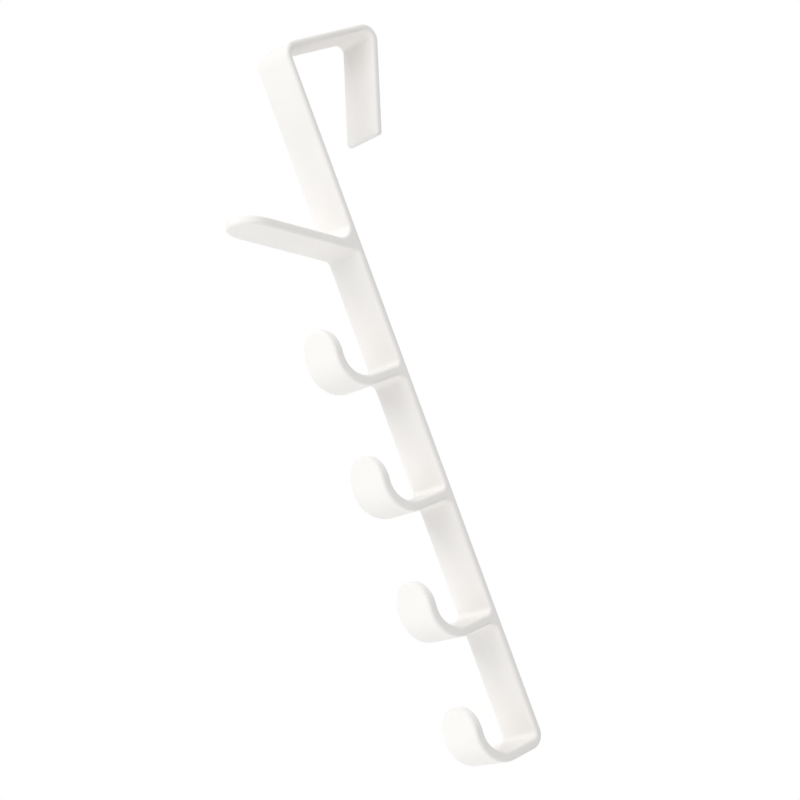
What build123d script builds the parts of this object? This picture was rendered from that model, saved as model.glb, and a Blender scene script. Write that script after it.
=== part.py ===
from build123d import *
import math
import os

# Over-door hook strip, moulded in one piece from white plastic.
# Millimetres. +Z is up, X runs across the strap, the hooks point to -Y and the spring leg is behind, on +Y.
# The origin is the middle of the seat, the face that rests on the top edge of the door.

# The band that wraps the door
WIDTH = 20.0
DOOR_GAP = 42.0  # between the strap and the spring leg, measured at the seat
STRAP_THICKNESS = 3.2
CLIP_THICKNESS = 2.75  # the seat and the strap's upper end
LEG_THICKNESS = 3.1
BEND_RADIUS = 3.0  # inside of the bends at both ends of the seat
LEG_LEAN = 22.3  # degrees by which the leg leans in towards the strap
LEG_DROP = 41.1  # from the seat down to the lowest point of the leg
LEG_END_ROUND = 1.4

# The straight peg
PEG_BELOW_SEAT = 76.25  # down to where the peg's top face leaves the strap
PEG_RISE = 27.0  # degrees above level
PEG_LENGTH = 49.0  # along the top face, from the strap to the tip
PEG_THICKNESS = 3.6
PEG_TOP_FILLET = 4.0
PEG_UNDER_FILLET = 2.6

# The J hooks
HOOK_COUNT = 4
HOOK_PITCH = 50.0
FIRST_HOOK_BELOW_SEAT = 127.95  # down to the middle of the first hook's root
HOOK_THICKNESS = 4.05
HOOK_ROOT_LENGTH = 13.5  # level stretch from the strap to the bend
HOOK_BEND_RADIUS = 11.7  # to the middle of the thickness
HOOK_TURN = 96.0  # degrees, so the tip leans back a little towards the strap
HOOK_TIP_STRAIGHT = 1.4  # from the bend to the centre of the round tip
HOOK_TOP_FILLET = 2.2
HOOK_UNDER_FILLET = 3.0
HEEL_RADIUS = 6.0  # outer corner where the strap turns into the last hook

# Break of all the long edges, at 45 degrees
EDGE_BREAK = 0.8

# Places that follow from the sizes above, in the side view: (Y, Z)
tip_radius = WIDTH / 2
strap_back = -DOOR_GAP / 2
strap_front = strap_back - STRAP_THICKNESS
strap_core = strap_back - CLIP_THICKNESS / 2
clip_front = strap_back - CLIP_THICKNESS
seat_top = CLIP_THICKNESS
hook_heights = [-FIRST_HOOK_BELOW_SEAT - i * HOOK_PITCH for i in range(HOOK_COUNT)]
strap_bottom = hook_heights[-1] - HOOK_THICKNESS / 2
peg_root_top = (strap_front, -PEG_BELOW_SEAT)


def side_point(start, angle, distance):
    """The point at a distance from start, with the angle in degrees from +Y towards +Z."""
    turn = math.radians(angle)
    return (start[0] + distance * math.cos(turn), start[1] + distance * math.sin(turn))


def rounded_at(outline, corner, radius):
    """The outline with the corner nearest to the given point rounded off or filled in."""
    vertex = outline.vertices().sort_by_distance(Vector(*corner))[0]
    return fillet(vertex, radius)


def band_outline():
    """Side view of strap, seat and leg, with the bends rounded."""
    lean = math.radians(LEG_LEAN)
    inner_top = (DOOR_GAP / 2, 0.0)
    across = (LEG_THICKNESS * math.cos(lean), -LEG_THICKNESS * math.sin(lean))
    leg_length = (LEG_DROP + across[1]) / math.cos(lean)
    inner_end = side_point(inner_top, -90.0 - LEG_LEAN, leg_length)
    outer_end = (inner_end[0] + across[0], inner_end[1] + across[1])
    outer_top = side_point(outer_end, 90.0 - LEG_LEAN, (seat_top - outer_end[1]) / math.cos(lean))
    front_top = (clip_front, seat_top)
    inner_front = (strap_back, 0.0)
    corners = [
        (strap_front, strap_bottom), peg_root_top, front_top, outer_top,
        outer_end, inner_end, inner_top, inner_front, (strap_back, strap_bottom),
    ]
    outline = make_face(Polyline(*corners, close=True))
    for corner in (front_top, outer_top):
        outline = rounded_at(outline, corner, BEND_RADIUS + CLIP_THICKNESS)
    for corner in (inner_front, inner_top):
        outline = rounded_at(outline, corner, BEND_RADIUS)
    for corner in (outer_end, inner_end):
        outline = rounded_at(outline, corner, LEG_END_ROUND)
    return outline


# The peg's top and bottom edge lines in the side view
peg_height_at_strap = PEG_THICKNESS / math.cos(math.radians(PEG_RISE))
peg_root_under = (strap_front, -PEG_BELOW_SEAT - peg_height_at_strap)
peg_core_rise = (strap_core - strap_front) * math.tan(math.radians(PEG_RISE))
peg_end_top = side_point(peg_root_top, 180.0 - PEG_RISE, PEG_LENGTH - tip_radius)
peg_end_under = side_point(peg_end_top, -90.0 - PEG_RISE, PEG_THICKNESS)


def peg_outline():
    """Side view of the peg up to the centre of its round tip."""
    corners = [
        peg_end_top, peg_end_under,
        (strap_core, peg_root_under[1] - peg_core_rise), (strap_core, peg_root_top[1] - peg_core_rise),
    ]
    return make_face(Polyline(*corners, close=True))


def hook_path(height):
    """Middle line of one J hook in the side view, from inside the strap to the centre of its round tip."""
    bend_start = (strap_front - HOOK_ROOT_LENGTH, height)
    root = Line((strap_core, height), bend_start)
    bend = JernArc(bend_start, (-1, 0), HOOK_BEND_RADIUS, -HOOK_TURN)
    tip = PolarLine(bend @ 1, HOOK_TIP_STRAIGHT, direction=bend % 1)
    return root + bend + tip


def half_round(end, direction, thickness):
    """Half disc across the full width that ends a hook or the peg.

    end and direction are vectors in the side view: the middle of the thickness, and the way the tip points.
    """
    middle = Vector(0, end.X, end.Y)
    towards = Vector(0, direction.X, direction.Y)
    face_plane = Plane(middle, x_dir=(1, 0, 0), z_dir=Vector(1, 0, 0).cross(towards))
    half = Circle(tip_radius) & Rectangle(WIDTH, tip_radius, align=(Align.CENTER, Align.MIN))
    return extrude(face_plane * half, thickness / 2, both=True)


def side_outline():
    """The whole side view, with every hook and the peg blended into the strap."""
    outline = band_outline() + peg_outline()
    for height in hook_heights:
        outline += trace(hook_path(height), HOOK_THICKNESS)
    outline = rounded_at(outline, peg_root_top, PEG_TOP_FILLET)
    outline = rounded_at(outline, peg_root_under, PEG_UNDER_FILLET)
    for height in hook_heights:
        outline = rounded_at(outline, (strap_front, height + HOOK_THICKNESS / 2), HOOK_TOP_FILLET)
    for height in hook_heights[:-1]:
        outline = rounded_at(outline, (strap_front, height - HOOK_THICKNESS / 2), HOOK_UNDER_FILLET)
    return rounded_at(outline, (strap_back, strap_bottom), HEEL_RADIUS)


def is_rim(face):
    """True for the flat sides and the round ends of the tips, which bound the width of the moulding."""
    if face.geom_type == GeomType.PLANE:
        return abs(face.normal_at().X) > 0.5
    return face.geom_type == GeomType.CYLINDER and abs(face.axis_of_rotation.direction.X) < 0.5


def soften(solid):
    """Breaks each edge where a side or a round tip meets the long faces."""
    rim_faces = solid.faces().filter_by(is_rim)
    long_faces = solid.faces().filter_by(lambda face: not is_rim(face))
    return chamfer(rim_faces.edges() & long_faces.edges(), EDGE_BREAK)


def over_door_hook():
    """The side view across the whole width, with round tips on the hooks and the peg, and softened edges."""
    body = extrude(Plane.YZ * side_outline(), WIDTH / 2, both=True)
    for height in hook_heights:
        path = hook_path(height)
        body += half_round(path @ 1, path % 1, HOOK_THICKNESS)
    peg_end = (Vector(*peg_end_top) + Vector(*peg_end_under)) / 2
    peg_direction = Vector(-1, 0).rotate(Axis.Z, -PEG_RISE)
    body += half_round(peg_end, peg_direction, PEG_THICKNESS)
    return soften(body)


os.makedirs("parts", exist_ok=True)
export_step(over_door_hook(), "parts/over_door_hook.step")
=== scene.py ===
import math
import bmesh
import bpy
from mathutils import Matrix, Vector


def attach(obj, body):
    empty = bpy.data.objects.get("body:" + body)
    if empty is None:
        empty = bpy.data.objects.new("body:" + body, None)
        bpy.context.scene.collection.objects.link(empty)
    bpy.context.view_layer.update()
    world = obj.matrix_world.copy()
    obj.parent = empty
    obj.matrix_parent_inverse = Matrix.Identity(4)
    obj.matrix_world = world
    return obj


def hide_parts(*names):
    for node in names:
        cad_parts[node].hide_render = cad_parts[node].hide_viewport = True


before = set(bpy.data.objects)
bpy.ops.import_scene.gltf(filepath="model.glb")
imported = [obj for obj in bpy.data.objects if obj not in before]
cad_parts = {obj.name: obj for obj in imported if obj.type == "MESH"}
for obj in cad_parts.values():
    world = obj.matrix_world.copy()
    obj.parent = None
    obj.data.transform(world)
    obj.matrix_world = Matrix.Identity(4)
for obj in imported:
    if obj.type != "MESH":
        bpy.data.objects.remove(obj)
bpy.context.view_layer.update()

# Over-door hook strip in white moulded plastic, with its rounded edges, its finish and a plain studio.
# Sizes of the strip are in millimetres, in the frame of the solids: the origin is the middle of the seat,
# +Z is up, X runs across the strap, the hooks point to -Y and the spring leg is behind, on +Y.
MM = 0.001

# The band that wraps the door
WIDTH = 20.0
DOOR_GAP = 42.0  # between the strap and the spring leg, measured at the seat
STRAP_THICKNESS = 3.2
CLIP_THICKNESS = 2.75  # the seat and the strap's upper end
LEG_THICKNESS = 3.1
BEND_RADIUS = 3.0  # inside of the bends at both ends of the seat
LEG_LEAN = 22.3  # degrees by which the leg leans in towards the strap
LEG_DROP = 41.1  # from the seat down to the lowest point of the leg
LEG_END_ROUND = 1.4

# The straight peg
PEG_BELOW_SEAT = 76.25  # down to where the peg's top face leaves the strap
PEG_RISE = 27.0  # degrees above level
PEG_LENGTH = 49.0  # along the top face, from the strap to the tip
PEG_THICKNESS = 3.6
PEG_TOP_FILLET = 4.0
PEG_UNDER_FILLET = 2.6

# The J hooks
HOOK_COUNT = 4
HOOK_PITCH = 50.0
FIRST_HOOK_BELOW_SEAT = 127.95  # down to the middle of the first hook's root
HOOK_THICKNESS = 4.05
HOOK_ROOT_LENGTH = 13.5  # level stretch from the strap to the bend
HOOK_BEND_RADIUS = 11.7  # to the middle of the thickness
HOOK_TURN = 96.0  # degrees, so the tip leans back a little towards the strap
HOOK_TIP_STRAIGHT = 1.4  # from the bend to the centre of the round tip
HOOK_TOP_FILLET = 2.2
HOOK_UNDER_FILLET = 3.0
HEEL_RADIUS = 6.0  # outer corner where the strap turns into the last hook

# Rounding of the long edges, and how finely the mesh follows the curves
EDGE_RADIUS = 1.3
EDGE_STEPS = 5
ARC_STEP = math.radians(5.0)
TIP_STEPS = 32

# The plastic: linear colours, and noise scales in patches to the metre
TINT_DEEP = (0.894, 0.876, 0.854, 1.0)
TINT_PALE = (0.912, 0.896, 0.876, 1.0)
TINT_FROM = 0.35  # noise value up to which the tint is the deep one
TINT_TO = 0.65  # noise value from which it is the pale one
CLOUD_SCALE = 35.0
CLOUD_DETAIL = 3.0
SMOOTHEST = 0.60
ROUGHEST = 0.78
GLOSS_SCALE = 160.0
GLOSS_DETAIL = 4.0
GRAIN_SCALE = 2200.0
GRAIN_DETAIL = 2.0
GRAIN_STRENGTH = 0.12
GRAIN_DEPTH = 0.05  # millimetres
PLASTIC_IOR = 1.49
SPECULAR_LEVEL = 0.3

# The studio, in metres
WHITE = (1.0, 1.0, 1.0, 1.0)
LIGHT_ABOVE = 0.83  # strength of the soft light straight from above
LIGHT_BELOW = 0.31  # and straight from below
FLOOR_BELOW_SEAT = 2.0  # the height of a common door
FLOOR_SIZE = 4.0
FLOOR_COLOUR = (0.9, 0.9, 0.9, 1.0)
FLOOR_ROUGHNESS = 0.9

# The lamps, in metres and watts: name, direction from the strip, distance and power
LAMP_SIZE = 1.0
LAMP_AIM = (0.0, -22.0, -140.0)  # millimetres, about the middle of the strap
LAMPS = (
    ("front_high", (0.0, -0.7, 0.7), 1.5, 6.0),
    ("front_low", (0.0, -0.7, -0.7), 1.5, 4.0),
    ("right_high", (0.6, -0.5, 0.6), 1.5, 4.4),
    ("left_low", (-0.6, -0.5, -0.6), 1.5, 4.3),
    ("back_left", (-0.55, 0.8, 0.25), 3.0, 20.0),
)

# The camera, at the photograph's viewing angle, in degrees and millimetres
CAMERA_AZIMUTH = 50.6
CAMERA_ELEVATION = 1.06
CAMERA_ROLL = -20.23
CAMERA_DISTANCE = 852.2
CAMERA_AIM = (0.79, -22.71, -138.97)
LENS = 100.77
SENSOR_WIDTH = 36.0

# Places that follow from the sizes above, in the side view: (Y, Z)
strap_back = -DOOR_GAP / 2
strap_front = strap_back - STRAP_THICKNESS
clip_front = strap_back - CLIP_THICKNESS
hook_heights = [-FIRST_HOOK_BELOW_SEAT - i * HOOK_PITCH for i in range(HOOK_COUNT)]

# Across the strip: the round tips, the flat between the rounded edges, and the turns from flat to rim
ACROSS = Vector((1.0, 0.0, 0.0))
tip_radius = WIDTH / 2
flat_half_width = tip_radius - EDGE_RADIUS
edge_angles = [math.pi / 2 * k / EDGE_STEPS for k in range(EDGE_STEPS + 1)]


def side_direction(angle):
    """Unit vector in the side view, with the angle in degrees from +Y towards +Z."""
    turn = math.radians(angle)
    return Vector((math.cos(turn), math.sin(turn)))


def left_of(direction):
    """The direction turned a quarter to the left, which is outwards on every chain below."""
    return Vector((-direction.y, direction.x))


def drawn_at_height(point, direction, height):
    """Where the line through a point in a direction reaches the given height."""
    return point + direction * ((height - point.y) / direction.y)


def in_space(side_vector):
    """A side-view vector (Y, Z) as a vector in space."""
    return Vector((0.0, side_vector.x, side_vector.y))


def hook_ends(height):
    """For one hook: the ends of its outer and inner face at the round tip, and the way the tip points."""
    towards = side_direction(180.0 - HOOK_TURN)
    bend_centre = Vector((strap_front - HOOK_ROOT_LENGTH, height + HOOK_BEND_RADIUS))
    middle = bend_centre + left_of(towards) * HOOK_BEND_RADIUS + towards * HOOK_TIP_STRAIGHT
    across = left_of(towards) * (HOOK_THICKNESS / 2)
    return middle + across, middle - across, towards


def outer_hook_corners(height):
    """The underside and outer face of a hook, from its root to its tip, as (corner, radius)."""
    outer_end, _, towards = hook_ends(height)
    bend_corner = drawn_at_height(outer_end, towards, height - HOOK_THICKNESS / 2)
    return [(bend_corner, HOOK_BEND_RADIUS + HOOK_THICKNESS / 2), (outer_end, 0.0)]


def inner_hook_corners(height):
    """The inner face of a hook and its top, from its tip to its root, as (corner, radius)."""
    _, inner_end, towards = hook_ends(height)
    root_height = height + HOOK_THICKNESS / 2
    bend_corner = drawn_at_height(inner_end, towards, root_height)
    root = Vector((strap_front, root_height))
    return [(inner_end, 0.0), (bend_corner, HOOK_BEND_RADIUS - HOOK_THICKNESS / 2), (root, HOOK_TOP_FILLET)]


def peg_ends():
    """The root and the tip end of the peg's top, then of its underside, and the way the tip points."""
    towards = side_direction(180.0 - PEG_RISE)
    root_top = Vector((strap_front, -PEG_BELOW_SEAT))
    end_top = root_top + towards * (PEG_LENGTH - tip_radius)
    end_under = end_top + left_of(towards) * PEG_THICKNESS
    root_under = root_top - Vector((0.0, PEG_THICKNESS / math.cos(math.radians(PEG_RISE))))
    return root_top, end_top, root_under, end_under, towards


def clip_corners():
    """Seat, spring leg and strap back, from the strap's upper front to its heel, as (corner, radius)."""
    down_leg = side_direction(-90.0 - LEG_LEAN)
    inner_top = Vector((DOOR_GAP / 2, 0.0))
    across = left_of(down_leg) * LEG_THICKNESS
    outer_end = drawn_at_height(inner_top + across, down_leg, -LEG_DROP)
    outer_top = drawn_at_height(outer_end, down_leg, CLIP_THICKNESS)
    heel = Vector((strap_back, hook_heights[-1] - HOOK_THICKNESS / 2))
    return [
        (Vector((clip_front, CLIP_THICKNESS)), BEND_RADIUS + CLIP_THICKNESS),
        (outer_top, BEND_RADIUS + CLIP_THICKNESS),
        (outer_end, LEG_END_ROUND),
        (outer_end - across, LEG_END_ROUND),
        (inner_top, BEND_RADIUS),
        (Vector((strap_back, 0.0)), BEND_RADIUS),
        (heel, HEEL_RADIUS),
    ]


def chains_of_corners():
    """The side view as chains of corners from each round tip to the next, with the plastic on the right."""
    root_top, end_top, root_under, end_under, _ = peg_ends()
    round_the_door = [(root_top, PEG_TOP_FILLET), *clip_corners()]
    chains = [[(end_top, 0.0), *round_the_door, *outer_hook_corners(hook_heights[-1])]]
    for below, above in zip(hook_heights[:0:-1], hook_heights[-2::-1]):
        root = Vector((strap_front, above - HOOK_THICKNESS / 2))
        chains.append([*inner_hook_corners(below), (root, HOOK_UNDER_FILLET), *outer_hook_corners(above)])
    under_peg = [(root_under, PEG_UNDER_FILLET), (end_under, 0.0)]
    chains.append([*inner_hook_corners(hook_heights[0]), *under_peg])
    return chains


def arc(before, corner, after, radius):
    """Stations (point, outward normal) round one corner between the points before and after it."""
    arrive = (corner - before).normalized()
    leave = (after - corner).normalized()
    turn = math.atan2(arrive.x * leave.y - arrive.y * leave.x, arrive.dot(leave))
    inwards = math.copysign(radius, turn)
    centre = corner - arrive * (radius * math.tan(abs(turn) / 2)) + left_of(arrive) * inwards
    steps = math.ceil(abs(turn) / ARC_STEP)
    normals = [Matrix.Rotation(turn * step / steps, 2) @ left_of(arrive) for step in range(steps + 1)]
    return [(centre - normal * inwards, normal) for normal in normals]


def rounded(corners):
    """Stations (point, outward normal) along a chain whose corners are rounded to their radii."""
    points = [corner for corner, _ in corners]
    stations = [(points[0], left_of((points[1] - points[0]).normalized()))]
    for before, (corner, radius), after in zip(points, corners[1:], points[2:]):
        stations += arc(before, corner, after, radius)
    stations.append((points[-1], left_of((points[-1] - points[-2]).normalized())))
    return stations


class Skin:
    """Collects the vertices of the moulding, each with its true normal, and its faces."""

    def __init__(self):
        self.points = []
        self.normals = []
        self.faces = []

    def vertex(self, foot, normal, outwards, angle):
        """A vertex on a rounded edge. The flat ends at foot, and outwards points from there to the rim."""
        out = math.sin(angle)
        up = math.cos(angle)
        self.points.append((foot + (outwards * out - normal * (1.0 - up)) * EDGE_RADIUS) * MM)
        self.normals.append(normal * up + outwards * out)
        return len(self.points) - 1

    def quads(self, near, far):
        """Faces between two rows of vertices."""
        for i in range(len(near) - 1):
            self.faces.append((near[i], near[i + 1], far[i + 1], far[i]))


def station_row(skin, point, normal):
    """One row of vertices across the strip, from the -X rim over the flat to the +X rim."""
    row = []
    for side, angles in ((-1.0, edge_angles[::-1]), (1.0, edge_angles)):
        foot = in_space(point) + ACROSS * (side * flat_half_width)
        row += [skin.vertex(foot, in_space(normal), ACROSS * side, angle) for angle in angles]
    return row


def tip_fan(skin, row, point, normal, towards):
    """Half disc with a rounded edge at the end of a strip. Returns its rim, from +X round to -X."""
    rays = [row[EDGE_STEPS + 1:]]
    for step in range(1, TIP_STEPS):
        turn = math.pi * step / TIP_STEPS
        outwards = ACROSS * math.cos(turn) + in_space(towards) * math.sin(turn)
        foot = in_space(point) + outwards * flat_half_width
        rays.append([skin.vertex(foot, in_space(normal), outwards, angle) for angle in edge_angles])
    rays.append(row[EDGE_STEPS::-1])
    for near, far in zip(rays, rays[1:]):
        skin.quads(near, far)
    skin.faces.append(tuple(ray[0] for ray in rays))
    return [ray[-1] for ray in rays]


def turn_faces_outwards(mesh):
    """Gives every face of a closed mesh its front on the outside."""
    work = bmesh.new()
    work.from_mesh(mesh)
    bmesh.ops.recalc_face_normals(work, faces=work.faces)
    work.to_mesh(mesh)
    work.free()


def new_object(name, data):
    """A new object in the scene, with the given mesh, light or camera."""
    thing = bpy.data.objects.new(name, data)
    bpy.context.scene.collection.objects.link(thing)
    return thing


def hook_strip():
    """The whole moulding as one closed mesh."""
    skin = Skin()
    chains = [rounded(corners) for corners in chains_of_corners()]
    tips = [peg_ends()[-1]] + [hook_ends(height)[-1] for height in hook_heights[::-1]]
    rows = [[station_row(skin, point, normal) for point, normal in chain] for chain in chains]
    for chain_rows in rows:
        for near, far in zip(chain_rows, chain_rows[1:]):
            skin.quads(near, far)
    # Each tip joins the start of its own chain to the end of the one before
    for index, towards in enumerate(tips):
        upper = tip_fan(skin, rows[index][0], *chains[index][0], towards)
        lower = tip_fan(skin, rows[index - 1][-1], *chains[index - 1][-1], towards)
        skin.quads(upper, lower)
    # The two flat sides, one face each
    for rim in (0, -1):
        skin.faces.append(tuple(row[rim] for chain_rows in rows for row in chain_rows))
    mesh = bpy.data.meshes.new("hook_strip")
    mesh.from_pydata(skin.points, [], skin.faces)
    turn_faces_outwards(mesh)
    mesh.shade_smooth()
    mesh.normals_split_custom_set_from_vertices(skin.normals)
    return new_object("hook_strip", mesh)


def white_plastic():
    """Warm white matte plastic: faint clouding of the colour, uneven gloss and a fine moulded grain."""
    material = bpy.data.materials.new("white_plastic")
    material.use_nodes = True
    nodes = material.node_tree.nodes
    links = material.node_tree.links
    shader = nodes["Principled BSDF"]
    shader.inputs["IOR"].default_value = PLASTIC_IOR
    shader.inputs["Specular IOR Level"].default_value = SPECULAR_LEVEL
    place = nodes.new("ShaderNodeTexCoord")

    def noise(scale, detail):
        node = nodes.new("ShaderNodeTexNoise")
        node.inputs["Scale"].default_value = scale
        node.inputs["Detail"].default_value = detail
        links.new(place.outputs["Object"], node.inputs["Vector"])
        return node.outputs["Fac"]

    tint = nodes.new("ShaderNodeValToRGB")
    deep, pale = tint.color_ramp.elements
    deep.position = TINT_FROM
    deep.color = TINT_DEEP
    pale.position = TINT_TO
    pale.color = TINT_PALE
    links.new(noise(CLOUD_SCALE, CLOUD_DETAIL), tint.inputs["Fac"])
    links.new(tint.outputs["Color"], shader.inputs["Base Color"])

    gloss = nodes.new("ShaderNodeMapRange")
    gloss.inputs["To Min"].default_value = SMOOTHEST
    gloss.inputs["To Max"].default_value = ROUGHEST
    links.new(noise(GLOSS_SCALE, GLOSS_DETAIL), gloss.inputs["Value"])
    links.new(gloss.outputs["Result"], shader.inputs["Roughness"])

    grain = nodes.new("ShaderNodeBump")
    grain.inputs["Strength"].default_value = GRAIN_STRENGTH
    grain.inputs["Distance"].default_value = GRAIN_DEPTH * MM
    links.new(noise(GRAIN_SCALE, GRAIN_DETAIL), grain.inputs["Height"])
    links.new(grain.outputs["Normal"], shader.inputs["Normal"])
    return material


def background_rays(nodes, links):
    """An output that is one for camera, glossy and transmission rays, and zero for all others."""
    path = nodes.new("ShaderNodeLightPath")
    factor = path.outputs["Is Camera Ray"]
    for ray in ("Is Glossy Ray", "Is Transmission Ray"):
        either = nodes.new("ShaderNodeMath")
        either.operation = "MAXIMUM"
        links.new(factor, either.inputs[0])
        links.new(path.outputs[ray], either.inputs[1])
        factor = either.outputs[0]
    return factor


def studio():
    """Soft light from all round, stronger from above than from below, in front of a white background."""
    world = bpy.data.worlds.new("studio")
    bpy.context.scene.world = world
    world.use_nodes = True
    nodes = world.node_tree.nodes
    links = world.node_tree.links

    fill = nodes["Background"]
    fill.inputs["Color"].default_value = WHITE
    place = nodes.new("ShaderNodeTexCoord")
    height = nodes.new("ShaderNodeSeparateXYZ")
    strength = nodes.new("ShaderNodeMapRange")
    strength.inputs["From Min"].default_value = -1.0
    strength.inputs["To Min"].default_value = LIGHT_BELOW
    strength.inputs["To Max"].default_value = LIGHT_ABOVE
    links.new(place.outputs["Generated"], height.inputs["Vector"])
    links.new(height.outputs["Z"], strength.inputs["Value"])
    links.new(strength.outputs["Result"], fill.inputs["Strength"])

    white = nodes.new("ShaderNodeBackground")
    white.inputs["Color"].default_value = WHITE
    white.inputs["Strength"].default_value = 1.0
    mix = nodes.new("ShaderNodeMixShader")
    links.new(background_rays(nodes, links), mix.inputs[0])
    links.new(fill.outputs["Background"], mix.inputs[1])
    links.new(white.outputs["Background"], mix.inputs[2])
    links.new(mix.outputs["Shader"], nodes["World Output"].inputs["Surface"])


def floor():
    """A plain pale floor, as far below the seat as a door is high."""
    reach = FLOOR_SIZE / 2
    outline = ((-reach, -reach), (reach, -reach), (reach, reach), (-reach, reach))
    mesh = bpy.data.meshes.new("floor")
    mesh.from_pydata([(x, y, -FLOOR_BELOW_SEAT) for x, y in outline], [], [(0, 1, 2, 3)])
    material = bpy.data.materials.new("floor")
    material.use_nodes = True
    shader = material.node_tree.nodes["Principled BSDF"]
    shader.inputs["Base Color"].default_value = FLOOR_COLOUR
    shader.inputs["Roughness"].default_value = FLOOR_ROUGHNESS
    mesh.materials.append(material)
    piece = new_object("floor", mesh)


def lamp(name, direction, distance, power):
    """A soft square lamp that faces the strip, in the given direction from it."""
    light = bpy.data.lights.new(name, "AREA")
    light.size = LAMP_SIZE
    light.energy = power
    holder = new_object(name, light)
    away = Vector(direction).normalized()
    holder.location = Vector(LAMP_AIM) * MM + away * distance
    holder.rotation_mode = "QUATERNION"
    holder.rotation_quaternion = away.to_track_quat("Z", "Y")


def camera():
    """The photograph's view of the strip."""
    data = bpy.data.cameras.new("camera")
    data.lens = LENS
    data.sensor_width = SENSOR_WIDTH
    holder = new_object("camera", data)
    azimuth = math.radians(CAMERA_AZIMUTH)
    elevation = math.radians(CAMERA_ELEVATION)
    level = math.cos(elevation)
    back = Vector((math.sin(azimuth) * level, -math.cos(azimuth) * level, math.sin(elevation)))
    upright = back.to_track_quat("Z", "Y").to_matrix()
    rolled = upright @ Matrix.Rotation(math.radians(CAMERA_ROLL), 3, "Z")
    place = (Vector(CAMERA_AIM) + back * CAMERA_DISTANCE) * MM
    holder.matrix_world = Matrix.LocRotScale(place, rolled, None)
    bpy.context.scene.camera = holder


strip = hook_strip()
strip.data.materials.append(white_plastic())
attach(strip, "root")
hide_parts("over_door_hook")

studio()
floor()
for lamp_values in LAMPS:
    lamp(*lamp_values)
camera()
bpy.context.scene.view_settings.view_transform = "Standard"
